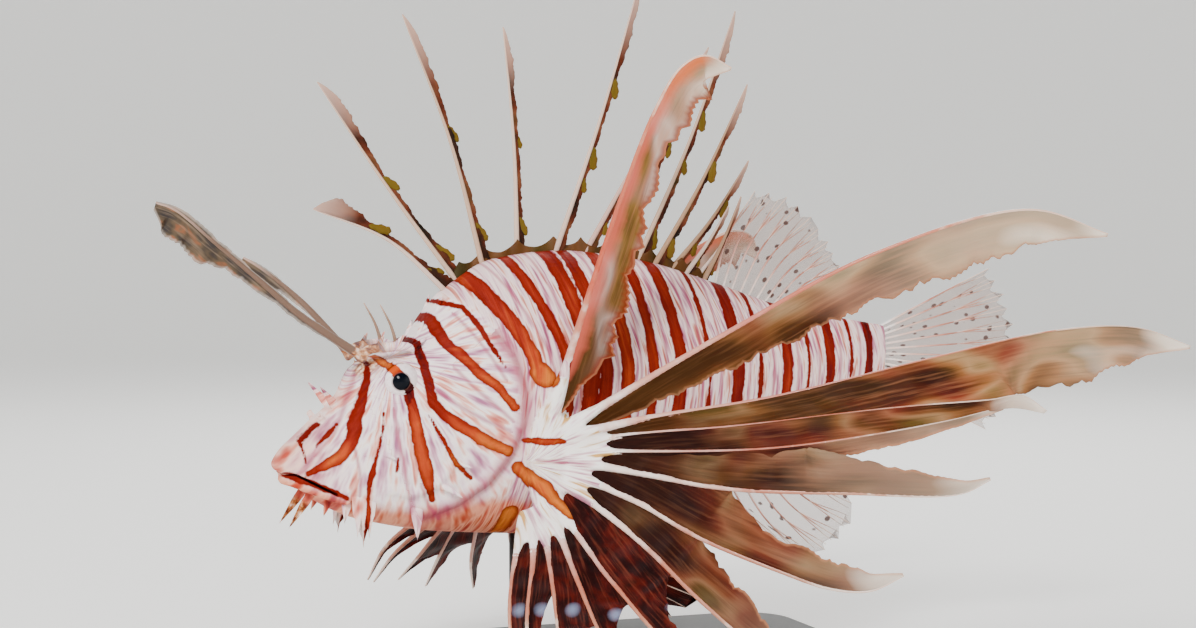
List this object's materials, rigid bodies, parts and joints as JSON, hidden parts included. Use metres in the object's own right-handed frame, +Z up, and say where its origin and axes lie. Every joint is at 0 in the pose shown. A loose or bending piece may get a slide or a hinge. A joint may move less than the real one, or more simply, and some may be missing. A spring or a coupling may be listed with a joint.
{
  "type": "red lionfish model",
  "caption": "Life-size still model of a banded fish with fanned fins and long back spines, held by one rod over a flat base.",
  "frame": {"origin": "centre of the underside of the stand's base", "axes": "+Z up, the head points along -X, the fish's left side faces -Y"},
  "size_m": [0.334, 0.2628, 0.2492],
  "materials": {
    "skin": "satin scaled skin in maroon, red and pinkish-white bars",
    "fin": "satin fin membrane mottled red-brown, olive and cream",
    "spine": "satin pinkish-beige spines and rays with olive bands",
    "eye": "wet gloss, blue-black pupil in a banded white iris",
    "stand": "satin black paint"
  },
  "bodies": {
    "root": {"head": "skin", "torso": "skin", "tail_stalk": "skin", "eye_left": "eye", "eye_right": "eye", "brow_tentacle_left": "fin", "brow_tentacle_right": "fin", "spiny_dorsal_fin": "spine", "soft_dorsal_fin": "fin", "anal_fin": "fin", "tail_fin": "fin", "pectoral_top_left": "fin", "pectoral_fan_left": "fin", "pectoral_lower_left": "fin", "pectoral_top_right": "fin", "pectoral_fan_right": "fin", "pectoral_lower_right": "fin", "pelvic_fin_left": "fin", "pelvic_fin_right": "fin", "stand_base": "stand", "stand_rod": "stand"}
  },
  "joints": []
}
